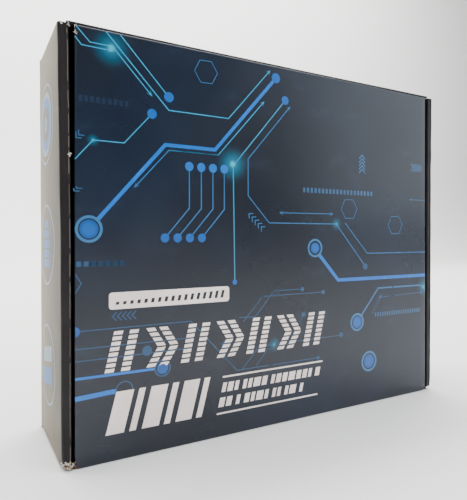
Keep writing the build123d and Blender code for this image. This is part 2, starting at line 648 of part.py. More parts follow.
# ================================================================ the list of nodes
def all_nodes():
    nodes = {"base_panel": base_panel(), "hinge_wall": hinge_wall(), "tuck_wall": tuck_wall(),
             "lid_panel": lid_panel(), "tuck_flap": tuck_flap()}
    nodes["right_outer_wall"], nodes["left_outer_wall"] = both_sides(outer_wall())
    nodes["right_rolled_edge"], nodes["left_rolled_edge"] = both_sides(rolled_edge())
    nodes["right_inner_wall"], nodes["left_inner_wall"] = both_sides(inner_wall())
    nodes["right_ear"], nodes["left_ear"] = both_sides(right_ear())
    lower, upper = corner_flap(SIDE_Z[0] + 0.2, True), corner_flap(SIDE_Z[1] - 0.2, False)
    nodes["corner_flaps"] = [*both_sides(lower), *both_sides(upper)]
    nodes["foam_base_layer"], nodes["foam_top_layer"] = foam_layers()

    shell = housing()
    nodes["housing_left"], nodes["housing_right"] = shell & half_space(-1), shell & half_space(1)
    nodes["grip_sleeve"] = grip_sleeve()
    nodes["rear_cap"] = rear_cap()
    nodes["display_window"] = lens_shape()
    nodes["control_board"] = control_board()
    nodes["nose_ring"] = nose_ring()
    nodes["wiper_seal"] = wiper_seal()
    nodes["plunger_bush"] = bush()
    nodes["bottom_cap"] = bottom_cap()
    nodes["charging_port"] = charging_port()
    nodes["charge_light_ring"] = light_ring()
    nodes["housing_screws"] = housing_screws()
    nodes["battery_cells"] = battery_cells()
    nodes["battery_holders"] = battery_holders()
    nodes["power_board"] = power_board()
    for name, (y, z) in BUTTONS.items():
        nodes[name] = button(y, z)

    nodes["motor_mount"] = motor_mount()
    nodes["motor_bearings"] = motor_bearings()
    nodes["stator_core"] = stator_core()
    nodes["stator_coils"] = stator_coils()
    nodes["rotor_bell"] = rotor_bell()
    nodes["rotor_magnets"] = rotor_magnets()
    nodes["motor_shaft"] = motor_shaft()
    nodes["crank_hub"] = crank_hub()
    nodes["crank_bearing"] = crank_bearing()
    nodes["crank_washer"] = crank_washer()
    nodes["connecting_rod"] = con_rod()
    nodes["gudgeon_pin"] = gudgeon_pin()
    nodes["plunger"] = plunger()

    shapes = {"ball_head": ball_head, "flat_head": flat_head, "fork_head": fork_head,
              "bullet_head": bullet_head, "cushion_head": cushion_head, "spade_head": spade_head}
    for name, make in shapes.items():
        nodes[name] = place_head(name, make())
    nodes["head_shanks"] = [place_head(name, shank()) for name in HEADS]
    nodes["head_o_rings"] = [place_head(name, o_ring()) for name in HEADS]
    return nodes


def main():
    os.makedirs("parts", exist_ok=True)
    for name, shape in all_nodes().items():
        pieces = shape if isinstance(shape, list) else [shape]
        solids = [solid for piece in pieces for solid in piece.solids()]
        export_step(solids[0] if len(solids) == 1 else Compound(solids), f"parts/{name}.step")


main()
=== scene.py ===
"""Looks for a boxed massage gun: a printed mailer carton with a foam tray, a gun and six heads.
Lengths in the tables are millimetres in the row frame; MM turns them into metres."""
import math
import random

import bmesh
import bpy
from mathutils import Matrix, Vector, noise


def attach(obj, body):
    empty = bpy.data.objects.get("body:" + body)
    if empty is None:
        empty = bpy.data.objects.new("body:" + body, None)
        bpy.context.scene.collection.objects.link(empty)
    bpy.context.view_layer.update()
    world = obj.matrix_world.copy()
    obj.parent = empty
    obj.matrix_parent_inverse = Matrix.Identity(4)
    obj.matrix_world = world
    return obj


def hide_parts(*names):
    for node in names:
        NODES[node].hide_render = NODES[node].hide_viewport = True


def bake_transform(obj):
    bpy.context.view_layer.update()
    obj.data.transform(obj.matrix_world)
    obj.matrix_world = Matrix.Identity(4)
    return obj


MM = 0.001
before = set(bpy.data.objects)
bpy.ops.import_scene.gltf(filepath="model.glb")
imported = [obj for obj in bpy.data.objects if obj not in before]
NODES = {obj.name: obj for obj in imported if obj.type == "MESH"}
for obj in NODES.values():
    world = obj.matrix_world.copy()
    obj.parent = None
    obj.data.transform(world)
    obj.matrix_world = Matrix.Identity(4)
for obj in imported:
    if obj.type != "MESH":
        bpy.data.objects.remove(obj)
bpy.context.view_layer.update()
ROOT = "carton_and_gun"

# ---------------------------------------------------------------- sizes, from the CAD
HALF_W, FACE, BACK, HEIGHT = 131.5, -32.0, 32.0, 216.0
LID_HALF, LID_LEFT, LID_TOP, BOARD = 125.0, -124.2, 214.2, 1.6
WALL_IN = 126.5
SIDE_LOW, SIDE_TOP = 2.0, 214.2
TUCK_LEAN, EAR_LEAN = 9.5, 8.0
TUCK_HALF, TUCK_LENGTH, TUCK_CORNER = 118.0, 38.0, 12.0
EAR_LENGTH, EAR_CORNER, EAR_LOW, EAR_HIGH = 34.0, 8.0, 14.0, LID_TOP - 10.0
LID_CUT = 2.4           # how far the lid's lower corners are cut
FOLD = 1.0              # outer radius of a bent fold
FLUTE_PITCH, FLUTE_HEIGHT, FLUTE_STEP = 3.2, 0.52, 0.4
INK_ROOT = 0.05         # how deep printed pieces reach into the board
BADGE_Z, BADGE_Y, BADGE_INK = (172, 108, 44), 2.5, 0.03


# ================================================================ materials
class Tree:
    """Short names for the shader nodes used below."""

    def __init__(self, name):
        self.mat = bpy.data.materials.new(name)
        self.mat.use_nodes = True
        self.nodes = self.mat.node_tree.nodes
        self.links = self.mat.node_tree.links
        self.bsdf = self.nodes["Principled BSDF"]
        self.place = self.nodes.new("ShaderNodeTexCoord").outputs["Object"]

    def put(self, socket, value):
        if hasattr(value, "is_linked"):
            self.links.new(value, socket)
        else:
            socket.default_value = value

    def set(self, **values):
        for name, value in values.items():
            self.put(self.bsdf.inputs[name.replace("_", " ")], value)
        return self

    def add(self, kind, *inputs, **settings):
        """The outputs of a new node. inputs are pairs of a socket and its value."""
        n = self.nodes.new("ShaderNode" + kind)
        for name, value in settings.items():
            setattr(n, name, value)
        for socket, value in inputs:
            self.put(n.inputs[socket], value)
        return n.outputs

    def math(self, op, a, b=0.0):
        return self.add("Math", (0, a), (1, b), operation=op)[0]

    def stretch(self, factors):
        return self.add("VectorMath", (0, self.place), (1, factors), operation="MULTIPLY")[0]

    def noise(self, scale, detail=3.0, rough=0.55, vector=None):
        return self.add("TexNoise", ("Vector", vector or self.place), ("Scale", scale), ("Detail", detail),
                        ("Roughness", rough))["Fac"]

    def cells(self, scale):
        return self.add("TexVoronoi", ("Vector", self.place), ("Scale", scale))["Distance"]

    def remap(self, value, low, high, to_low=0.0, to_high=1.0):
        return self.add("MapRange", ("Value", value), ("From Min", low), ("From Max", high),
                        ("To Min", to_low), ("To Max", to_high), interpolation_type="SMOOTHSTEP")["Result"]

    def mix(self, fac, a, b):
        return self.add("Mix", ("Factor", fac), (6, a), (7, b), data_type="RGBA")[2]

    def distance(self, point):
        point = [c * MM for c in point]
        return self.add("VectorMath", (0, self.place), (1, point), operation="DISTANCE")["Value"]

    def axes(self):
        return self.add("SeparateXYZ", (0, self.place))

    def bump(self, height, strength, distance_mm=0.1):
        out = self.add("Bump", ("Strength", strength), ("Distance", distance_mm * MM), ("Height", height))
        self.put(self.bsdf.inputs["Normal"], out["Normal"])
        return self


def rgb(r, g, b):
    """An sRGB colour, 0 to 255, as a linear RGBA value."""
    def lin(v):
        v /= 255
        return v / 12.92 if v <= 0.04045 else ((v + 0.055) / 1.055) ** 2.4
    return (lin(r), lin(g), lin(b), 1.0)


MATS = {}
INK = []        # (colour, vertices, faces) of thin pieces still to be joined


def plain(name, colour, rough=0.5, metal=0.0, grain=400.0, bump=0.1, vary=0.12, **more):
    """A material with a slight mottling of its colour and a fine grain."""
    t = Tree(name)
    darker = tuple(c * (1 - vary) for c in colour[:3]) + (1.0,)
    t.set(Base_Color=t.mix(t.noise(60), darker, colour), Metallic=metal, **more)
    t.set(Roughness=t.remap(t.noise(90), 0.3, 0.7, max(rough - 0.05, 0.02), rough + 0.05))
    if bump:
        t.bump(t.noise(grain, 2), bump)
    MATS[name] = t.mat


# glows on the lid: x, z, radius, strength
GLOWS = ((-106.5, 206, 14, 0.8), (-37.3, 153.5, 14, 0.9), (-115.5, 159.5, 4.5, 0.7), (39.5, 120.5, 6.5, 0.6),
         (123, 76, 10, 0.6), (-9, 48, 7, 0.5))


def add_glows(t, colour, wide, core):
    """Soft light spots printed on the lid: a wide teal halo and a small bright middle."""
    for x, z, radius, strength in GLOWS:
        gap = t.distance((x, FACE, z))
        near = t.remap(gap, 0.0, radius * MM, 1.0, 0.0)
        near = t.math("MULTIPLY", near, near)
        colour = t.mix(t.math("MULTIPLY", near, strength * wide), colour, rgb(0, 150, 190))
        near = t.remap(gap, 0.0, radius * 0.2 * MM, 1.0, 0.0)
        colour = t.mix(t.math("MULTIPLY", near, strength * core), colour, rgb(60, 215, 235))
    return colour


def make_lid_print():
    """Dark blue ink under a satin film: mottled, with dust, hairline scuffs and a faint orange peel."""
    t = Tree("lid_print")
    colour = t.mix(t.remap(t.noise(9, 4, 0.6), 0.38, 0.68), rgb(2, 13, 28), rgb(8, 24, 44))
    cloud = t.remap(t.noise(38, 3, 0.6, t.stretch((1, 1, 1.6))), 0.55, 0.8, 0, 0.22)
    colour = add_glows(t, t.mix(cloud, colour, rgb(44, 60, 82)), 0.5, 0.7)
    specks = t.remap(t.cells(300), 0.05, 0.02)
    specks = t.math("MULTIPLY", specks, t.remap(t.noise(45, 2), 0.58, 0.64))
    colour = t.mix(t.math("MULTIPLY", specks, 0.45), colour, rgb(170, 172, 172))
    t.set(Base_Color=colour, Specular_IOR_Level=0.5)
    hair = t.remap(t.noise(150, 4, 0.7, t.stretch((0.3, 1, 1.2))), 0.58, 0.8)
    smear = t.remap(t.noise(12, 4, 0.6), 0.35, 0.7)
    marks = t.math("ADD", t.math("MULTIPLY", hair, 0.04), t.math("MULTIPLY", smear, 0.07))
    t.set(Roughness=t.math("ADD", marks, 0.27))
    t.bump(t.noise(500, 2, 0.5), 0.06, 0.03)
    MATS["lid_print"] = t.mat


def add_dust(t, tint):
    """Fine dust: it shows pale at a grazing angle only."""
    t.set(Sheen_Weight=0.9, Sheen_Roughness=0.25, Sheen_Tint=rgb(*tint))


def make_ink(name, colour, glow=0.5, dust=None):
    """Ink printed on the film. glow is how much of the lid's light spots it takes."""
    t = Tree(name)
    base = t.mix(t.remap(t.noise(30, 3), 0.35, 0.7), tuple(c * 0.82 for c in colour[:3]) + (1.0,), colour)
    t.set(Base_Color=add_glows(t, base, glow * 0.4, glow) if glow else base, Specular_IOR_Level=0.5)
    extra = 0.16 if dust else 0.0
    t.set(Roughness=t.remap(t.noise(14, 3), 0.35, 0.7, 0.27 + extra, 0.34 + extra))
    if dust:
        add_dust(t.set(Specular_IOR_Level=0.2), dust)
    MATS[name] = t.mat


def make_side(name, dusty):
    """The carton's dark sides: satin film with rub marks and pale scratches. A dusty one turns pale
    when it is seen at a grazing angle."""
    t = Tree(name)
    colour = t.mix(t.remap(t.noise(14, 4, 0.6), 0.4, 0.65), rgb(18, 15, 17), rgb(30, 27, 28))
    y = t.axes()[1]
    away = t.remap(y, (FACE + 1) * MM, (FACE + 4) * MM)
    streaks = t.noise(34, 4, 0.6, t.stretch((1, 1.6, 0.3)))
    dust = t.math("MULTIPLY", away, t.remap(streaks, 0.35, 0.7, 0.1, 0.35))
    colour = t.mix(dust, colour, rgb(50, 46, 42) if dusty else rgb(44, 42, 42))
    rough = t.math("ADD", t.math("MULTIPLY", t.noise(60, 4, 0.7), 0.1),
                   t.math("ADD", t.math("MULTIPLY", streaks, 0.12), 0.34))
    scratch = t.remap(t.noise(220, 3, 0.6, t.stretch((1, 1, 0.06))), 0.7, 0.76, 0, 0.3)
    colour = t.mix(scratch, colour, rgb(110, 104, 96))
    t.set(Base_Color=colour, Specular_IOR_Level=0.2, Roughness=rough)
    if dusty:
        add_dust(t, (146, 134, 98))
    height = t.math("ADD", t.noise(260, 3, 0.6, t.stretch((1, 1, 0.3))), t.noise(900, 2))
    t.bump(height, 0.14, 0.06)
    MATS[name] = t.mat


def make_kraft():
    """Brown liner paper with fibres and the faint washboard of the flutes."""
    t = Tree("kraft")
    fibre = t.noise(420, 5, 0.7, t.stretch((0.25, 1, 1)))
    colour = t.mix(t.remap(fibre, 0.35, 0.7), rgb(150, 112, 74), rgb(186, 148, 104))
    colour = t.mix(t.remap(t.noise(1500, 2), 0.68, 0.75, 0, 0.5), colour, rgb(92, 62, 38))
    t.set(Base_Color=colour, Roughness=0.86, Specular_IOR_Level=0.2)
    x = t.axes()[0]
    wave = t.math("SINE", t.math("MULTIPLY", x, 2 * math.pi / (FLUTE_PITCH * MM)))
    t.bump(t.math("ADD", t.math("MULTIPLY", wave, 0.3), fibre), 0.25, 0.12)
    MATS["kraft"] = t.mat


def make_foam():
    t = Tree("foam")
    pores = t.remap(t.cells(900), 0.0, 0.5)
    big = t.remap(t.cells(330), 0.05, 0.45)
    colour = t.mix(pores, rgb(15, 15, 17), rgb(44, 44, 47))
    t.set(Base_Color=colour, Roughness=0.95, Specular_IOR_Level=0.15)
    t.bump(t.math("ADD", pores, t.math("MULTIPLY", big, 0.6)), 0.7, 0.35)
    MATS["foam"] = t.mat


def make_brushed(name, colour, rough=0.32, along=(1, 1, 1)):
    """Metal with fine turning or brushing marks."""
    t = Tree(name)
    marks = t.noise(900, 3, 0.6, t.stretch(along))
    darker = tuple(c * 0.86 for c in colour[:3]) + (1.0,)
    t.set(Base_Color=t.mix(t.noise(30), colour, darker), Metallic=1.0)
    t.set(Roughness=t.remap(marks, 0.3, 0.7, rough - 0.08, rough + 0.1))
    t.bump(marks, 0.08, 0.05)
    MATS[name] = t.mat


# printing inks: name, colour, and where they differ, glow and dust
INKS = (("blue", (0, 108, 200)), ("disc", (0, 90, 172)), ("deep", (0, 80, 154)), ("ring", (46, 110, 160)),
        ("cyan", (42, 142, 182)), ("steel", (42, 104, 156)), ("dim", (26, 72, 112)),
        ("line", (42, 86, 126), 0.4), ("faint", (14, 38, 64), 0), ("white", (250, 238, 232), 0),
        ("black", (12, 12, 15), 0),
        ("pale", (104, 128, 148), 0, (136, 142, 136)), ("sky", (34, 92, 150), 0, (98, 128, 160)))


def make_materials():
    make_lid_print()
    make_side("side_print", False)
    make_side("left_print", True)
    make_kraft()
    make_foam()
    for name, colour, *more in INKS:
        make_ink("ink_" + name, rgb(*colour), *more)
    plain("flute", rgb(176, 136, 92), rough=0.9, bump=0.3)
    # dark brown for cut edges: painted shade standing in for the shadowed flute channels
    plain("painted_flute_shade", rgb(26, 18, 12), rough=0.95, bump=0.3)
    # pale crease line: partly rubbed wear, partly a painted highlight
    plain("ink_worn_line", rgb(112, 100, 92), rough=0.8, bump=0.2, vary=0.5)
    plain("torn_white", rgb(226, 220, 210), rough=0.9, bump=0.2)
    plain("torn_kraft", rgb(132, 98, 62), rough=0.9, bump=0.2)
    plain("housing", rgb(52, 55, 60), rough=0.46, grain=2600, bump=0.25, vary=0.08)
    plain("cap_plastic", rgb(30, 32, 36), rough=0.42, grain=2600, bump=0.2, vary=0.08)
    plain("grip", rgb(22, 22, 24), rough=0.7, grain=1800, bump=0.3)
    plain("glass", rgb(5, 6, 9), rough=0.06, bump=0, Coat_Weight=1.0, Coat_Roughness=0.03)
    plain("board_green", rgb(18, 84, 48), rough=0.4, bump=0.05)
    make_brushed("satin_metal", rgb(188, 190, 195), 0.34, (40, 1, 1))
    make_brushed("steel", rgb(170, 171, 174), 0.28)
    make_brushed("cast_metal", rgb(150, 150, 152), 0.5)
    make_brushed("copper", rgb(196, 112, 62), 0.35)
    plain("nylon", rgb(206, 200, 188), rough=0.5)
    plain("keys", rgb(196, 200, 206), rough=0.35, grain=1500)
    plain("light_ring", rgb(206, 222, 236), rough=0.3, grain=1500, bump=0.05)
    plain("cell_wrap", rgb(36, 98, 178), rough=0.3, bump=0.05)
    plain("core", rgb(60, 60, 62), rough=0.45, metal=0.6)
    plain("head_soft", rgb(30, 30, 33), rough=0.75, grain=1300, bump=0.5)
    plain("head_hard", rgb(40, 41, 45), rough=0.38, grain=2400, bump=0.2)


# ================================================================ mesh helpers
def put_in_scene(name, data):
    obj = bpy.data.objects.new(name, data)
    bpy.context.scene.collection.objects.link(obj)
    return obj


def add_mesh(name, verts, faces, mats, smooth=True, face_mats=None, closed=True):
    """A mesh object from millimetre vertices, its faces turned outward."""
    mesh = bpy.data.meshes.new(name)
    mesh.from_pydata([(x * MM, y * MM, z * MM) for x, y, z in verts], [], faces)
    for m in mats if isinstance(mats, (list, tuple)) else [mats]:
        mesh.materials.append(MATS[m])
    if face_mats:
        mesh.polygons.foreach_set("material_index", face_mats)
    mesh.polygons.foreach_set("use_smooth", [smooth] * len(mesh.polygons))
    mesh.validate()
    if closed:
        bm = bmesh.new()
        bm.from_mesh(mesh)
        bmesh.ops.recalc_face_normals(bm, faces=bm.faces)
        bm.to_mesh(mesh)
        bm.free()
    mesh.update()
    return put_in_scene(name, mesh)


def swept(count, rings, first=0):
    """Faces of a closed tube: each ring of count vertices joins the next, and both ends are capped."""
    faces = []
    for i in range(rings - 1):
        for k in range(count):
            a, b = first + i * count + k, first + i * count + (k + 1) % count
            faces.append((a, b, b + count, a + count))
    last = first + (rings - 1) * count
    return faces + [tuple(range(first + count - 1, first - 1, -1)), tuple(range(last, last + count))]


def finish_piece(obj, body, slot, *nodes):
    """Ties a piece to its body and hides the CAD nodes it stands for. slot, its material slot, is not used.
    """
    if nodes:
        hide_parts(*nodes)
    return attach(obj, body)


def printed(obj, body, *nodes):
    """A piece of the carton."""
    return finish_piece(obj, body, "printed_board", *nodes)


def wobble(x, y, z, scale, amount):
    """Smooth seeded unevenness, in mm."""
    return amount * noise.noise(Vector((x / scale + 3.7, y / scale - 1.3, z / scale + 8.1)))


def lid_bow(x, z):
    """How far the lid's face stands off its plane: boards are never quite flat."""
    u, v = x / LID_HALF, (z - 107) / 107
    return 0.35 * (1 - u * u) * (1 - v * v) + wobble(x, 0, z, 60, 0.12) * (1 - u**4) * (1 - v**4)


def lines(low, high, edge, step):
    """Grid lines across a panel, close together in its rounded edges."""
    inner = high - low - 2 * edge
    count = max(2, round(inner / step))
    middle = [low + edge + inner * i / count for i in range(1, count)]
    shares = (0.0, 0.04, 0.15, 0.4, 1.0)
    return [low + edge * s for s in shares] + middle + [high - edge * s for s in reversed(shares)]


def slab(name, us, vs, place, mats, rounding, rim, taper=None, inside=None):
    """A board panel, printed outside. place(u, v, w) gives its position, w the depth below the print.
    rounding(u, v) is the depth lost at the edges; rim and inside pick the edge's and the back's material."""
    nu, nv = len(us), len(vs)
    verts, faces, which = [], [], []
    for side in (0, 1):
        for u in us:
            for v in vs:
                a, b = taper(u, v) if taper else (u, v)
                verts.append(place(a, b, BOARD - rounding(u, v) * 0.3 if side else rounding(u, v)))
    for side in (0, 1):
        base = side * nu * nv
        for i in range(nu - 1):
            for j in range(nv - 1):
                a, b, c, d = (base + i * nv + j, base + (i + 1) * nv + j, base + (i + 1) * nv + j + 1,
                              base + i * nv + j + 1)
                faces.append((d, c, b, a) if side else (a, b, c, d))
                which.append(inside(us[i], vs[j]) if side and inside else side)
    around = [(i, 0) for i in range(nu)] + [(nu - 1, j) for j in range(1, nv)]
    around += [(i, nv - 1) for i in range(nu - 2, -1, -1)] + [(0, j) for j in range(nv - 2, 0, -1)]
    for k, (i, j) in enumerate(around):
        m, n = around[(k + 1) % len(around)]
        a, b = i * nv + j, m * nv + n
        faces.append((b, a, a + nu * nv, b + nu * nv))
        which.append(rim((us[i] + us[m]) / 2, (vs[j] + vs[n]) / 2))
    return add_mesh(name, verts, faces, mats, face_mats=which)


def round_edges(us, vs, runs, depth):
    """Rounding for a panel: runs is its width at the low u, high u, low v and high v edges."""
    def lost(u, v):
        gaps = (u - us[0], us[-1] - u, v - vs[0], vs[-1] - v)
        total = 0.0
        for gap, run in zip(gaps, runs):
            if run and gap < run:
                total = max(total, depth * (1 - math.sqrt(max(0.0, 1 - (1 - gap / run) ** 2))))
        return total
    return lost


def flutes(name, start, end, normal, out, body):
    """The wave seen on a board's cut edge, between its two papers: a thin wavy ribbon."""
    start, end, normal, out = Vector(start), Vector(end), Vector(normal), Vector(out)
    normal.normalize()
    out.normalize()
    length = (end - start).length
    count = max(8, int(length / FLUTE_STEP))
    verts = []
    for k in range(count + 1):
        wave = FLUTE_HEIGHT * math.sin(2 * math.pi * length * k / count / FLUTE_PITCH)
        middle = start + (end - start) * (k / count) + normal * wave
        for side, depth in ((-0.13, 0.05), (0.13, 0.05), (0.13, -0.5), (-0.13, -0.5)):
            verts.append(tuple(middle + normal * side + out * depth))
    printed(add_mesh(name, verts, swept(4, count + 1), "flute"), body)


def shell_along_z(name, profile, zs, place, mats, outer):
    """A closed band whose cross-section is a loop of (x, y) points, swept through the heights zs.
    The first outer points and the ends are printed."""
    n = len(profile)
    verts = [place(x, y, z) for z in zs for x, y in profile]
    which = [0 if k < outer or k == n - 1 else 1 for k in range(n)] * (len(zs) - 1) + [0, 0]
    return add_mesh(name, verts, swept(n, len(zs)), mats, face_mats=which)


def arc(cx, cy, r, start, end, count):
    """Points on an arc, angles in degrees."""
    steps = [math.radians(start + (end - start) * i / count) for i in range(count + 1)]
    return [(cx + r * math.cos(a), cy + r * math.sin(a)) for a in steps]


# ================================================================ carton
def span(low, high, step):
    count = max(1, round(abs(high - low) / step))
    return [low + (high - low) * i / count for i in range(count + 1)]


def build_lid():
    """The printed face. Its left and right edges fold into the ears, the top into the tuck flap."""
    us = lines(LID_LEFT, LID_HALF, 1.1, 5)
    vs = lines(0.4, LID_TOP, 1.0, 5)

    def place(x, z, w):
        return (x, FACE + w - lid_bow(x, z), z)

    def taper(x, z):
        """Cuts the lid's two lower corners."""
        cut = LID_CUT - min(LID_HALF - x, x - LID_LEFT) - z
        return (x - math.copysign(cut / 2, x), z + cut / 2) if cut > 0 else (x, z)

    # the edge faces near the lid's corners take the painted flute shade
    def rim(x, z):
        return 0 if LID_LEFT + 0.5 < x < LID_HALF - 0.5 or 14 < z < 204 else 2

    obj = slab("lid_board", us, vs, place, ["lid_print", "kraft", "painted_flute_shade"],
               round_edges(us, vs, (0.8, 0.9, 1.0, 0.4), 0.6), rim, taper)
    printed(obj, "lid", "lid_panel")


def turned(u, v, fold_u, fold_v, degrees):
    """A point turned about a fold, in the plane across it."""
    a, du, dv = math.radians(degrees), u - fold_u, v - fold_v
    return (fold_u + du * math.cos(a) - dv * math.sin(a), fold_v + du * math.sin(a) + dv * math.cos(a))


def flap(name, body, node, us, length, place, taper, steps):
    """A flap of board, swept from its fold to its rounded free edge."""
    ts = [1.0, 1.2, 1.6, 2.4] + span(4, 26, 4)
    ts += [27 + (length - 27) * math.sin(math.pi / 2 * i / steps) for i in range(1, steps + 1)]
    # the flap's free edge faces take the painted flute shade
    obj = slab(name + "_board", us, ts, place, ["side_print", "kraft", "painted_flute_shade"],
               round_edges(us, ts, (0.3, 0.3, 0, 0.4), 0.15), lambda u, t: 0 if t < 1.1 else 2, taper)
    printed(obj, body, node)


def flap_depth(t, w):
    """Y of a point on an upright flap: its inner corner is mitred at the fold."""
    return FACE + t + w * 0.6 * max(0, 1 - t / 4)


def build_tuck():
    """The tuck flap, with rounded free corners."""
    half, length, corner = TUCK_HALF, TUCK_LENGTH, TUCK_CORNER

    def taper(x, t):
        shrink = 4.0 * t / length
        free = length - t
        if free < corner:
            shrink += corner - math.sqrt(max(corner**2 - (corner - free) ** 2, 0))
        return (x * (half - shrink) / half, t)

    def place(x, t, w):
        bow = 0.5 * math.sin(math.pi * min(t / length, 1)) * (1 - (x / half) ** 2)
        return (x, *turned(flap_depth(t, w), LID_TOP - w - bow, FACE, LID_TOP, -TUCK_LEAN))

    flap("tuck", "tuck", "tuck_flap", lines(-half, half, 0.3, 5), length, place, taper, 7)
    a, b = place(-half + 17, length, BOARD / 2), place(half - 17, length, BOARD / 2)
    lean = math.radians(TUCK_LEAN)
    sin, cos = math.sin(lean), math.cos(lean)
    flutes("tuck_flutes", a, b, (0, sin, cos), (0, cos, -sin), "tuck")


def build_ears():
    low, high, length, corner = EAR_LOW, EAR_HIGH, EAR_LENGTH, EAR_CORNER
    sin, cos = math.sin(math.radians(EAR_LEAN)), math.cos(math.radians(EAR_LEAN))

    def taper(z, t):
        a, b = low + t, high - 8.0 * t / length
        free = length - t
        cut = corner - math.sqrt(max(corner**2 - (corner - free) ** 2, 0)) if free < corner else 0.0
        start = a + cut * 0.6
        return (start + (b - cut - start) * (z - low) / (high - low), t)

    for sign, name, body in ((-1, "left_ear", "ear_left"), (1, "right_ear", "ear_right")):
        edge = LID_HALF if sign > 0 else -LID_LEFT

        def place(z, t, w):
            x, y = turned(edge - w, flap_depth(t, w), edge, FACE, EAR_LEAN)
            return (sign * x, y, z)

        flap(name, body, name, lines(low, high, 0.3, 6), length, place, taper, 6)
        flutes(name + "_flutes", place(low + 41, length, BOARD / 2), place(high - 18, length, BOARD / 2),
               (sign * cos, sin, 0), (-sign * sin, cos, 0), body)


def crease(name, loop, outer, along, stations, mats=("side_print", "kraft"), waver=0.0):
    """A bent strip that closes a fold: loop is its cross-section, swept along the fold. The first outer
    points are printed and waver."""
    n, verts = len(loop), []
    for s in stations:
        for k, (a, b) in enumerate(loop):
            lift = wobble(s, k, 0, 6, waver) if k < outer else 0.0
            verts.append((s, a - lift, b) if along == "X" else (a, b - lift, s))
    which = [0 if k < outer else 1 for k in range(n)] * (len(stations) - 1) + [1, 1]
    obj = add_mesh(name, verts, swept(n, len(stations)), list(mats), face_mats=which)
    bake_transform(obj)


def build_creases():
    """The paper that bends at the hinge, at the tuck flap's fold and at the ears' folds."""
    r = FOLD
    outer = [(-30.0, 0.02)] + arc(FACE + r, r, r, 270, 180, 6) + [(FACE + 0.04, 2.2)]
    inner = [(-30.5, 2.2), (-30.3, 1.75), (-30.0, 1.55)]
    crease("hinge_crease", outer + inner, len(outer) - 1,
           "X", span(-LID_HALF + 2.6, LID_HALF - 2.6, 5), ("lid_print", "kraft"), 0.05)
    lean, top = math.radians(TUCK_LEAN), LID_TOP
    slope = -math.sin(lean)
    outer = [(FACE + 0.06, top - 2.2)] + arc(FACE + r + 0.05, top - r - 0.05, r, 180, 90, 6)
    outer += [(FACE + 2.4, top - 0.05 + 2.4 * slope)]
    inner = [(FACE + 2.4, top - 1.5 + 2.4 * slope), (FACE + 1.9, top - 1.8), (FACE + 1.5, top - 2.2)]
    crease("tuck_crease", outer + inner, len(outer) - 1,
           "X", span(-117.4, 117.4, 5), ("side_print", "kraft"), 0.05)
    for sign, side in ((-1, "left"), (1, "right")):
        slope, edge = math.tan(math.radians(EAR_LEAN)), LID_HALF if sign > 0 else -LID_LEFT
        outer = [(edge - 2.2, FACE + 0.1)] + arc(edge - r - 0.08, FACE + r + 0.06, r, -90, 0, 6)
        outer += [(edge - 0.1 - 2.4 * slope, FACE + 2.4)]
        inner = [(edge - 1.5 - 2.4 * slope, FACE + 2.4), (edge - 1.8, FACE + 1.9), (edge - 2.2, FACE + 1.5)]
        loop = [(sign * x, y) for x, y in outer + inner]
        crease(side + "_ear_crease", loop, len(outer) - 1,
               "Z",
               span(14.6, 203.4, 5))


def wall_profile(sign):
    """The loop of a side wall: outer wall, rolled edge and inner wall, as (x, y) points, and
    how many of them are printed."""
    r, inner_r = 1.3, 1.0
    out = [(HALF_W, y) for y in span(BACK - 0.9, FACE + r + 0.6, 3.0)]
    front = arc(HALF_W - r, FACE + r, r, 0, -90, 6)
    strip = [(x, FACE + 0.16 * math.sin(math.pi * (HALF_W - r - x) / (HALF_W - r - WALL_IN - inner_r)))
             for x in span(HALF_W - r - 0.5, WALL_IN + inner_r + 0.4, 0.6)]
    turn = arc(WALL_IN + inner_r, FACE + inner_r, inner_r, -90, -180, 5)
    inside = [(WALL_IN, y) for y in span(FACE + inner_r + 1, BACK - BOARD - 0.1, 4.0)]
    back = [(WALL_IN + BOARD, BACK - BOARD - 0.1)]
    inside_out = [(WALL_IN + BOARD, y) for y in span(BACK - BOARD - 3, FACE + 2.2, 6.0)]
    gap = [(HALF_W - BOARD, FACE + 2.2)]
    outside_in = [(HALF_W - BOARD, y) for y in span(FACE + 4, BACK - 0.9, 6.0)]
    loop = out + front + strip + turn + inside + back + inside_out + gap + outside_in
    return loop, len(out) + len(front) + len(strip) + len(turn) + len(inside) - 1


def curve(z, table):
    """A smooth value read from (height, value) pairs."""
    for (z0, v0), (z1, v1) in zip(table, table[1:]):
        if z <= z1:
            s = max(0.0, (z - z0) / (z1 - z0))
            s = s * s * (3 - 2 * s)
            return v0 + (v1 - v0) * s
    return table[-1][1]


# how far each side wall stands outward of its plane, by height: the walls lean and bow
LEAN = {-1: ((0, -1.3), (45, -1.2), (105, -1.1), (150, -0.45), (200, 0.3), (216, 0.6)),
        1: ((0, -0.5), (60, 0.0), (150, 0.3), (216, 1.0))}


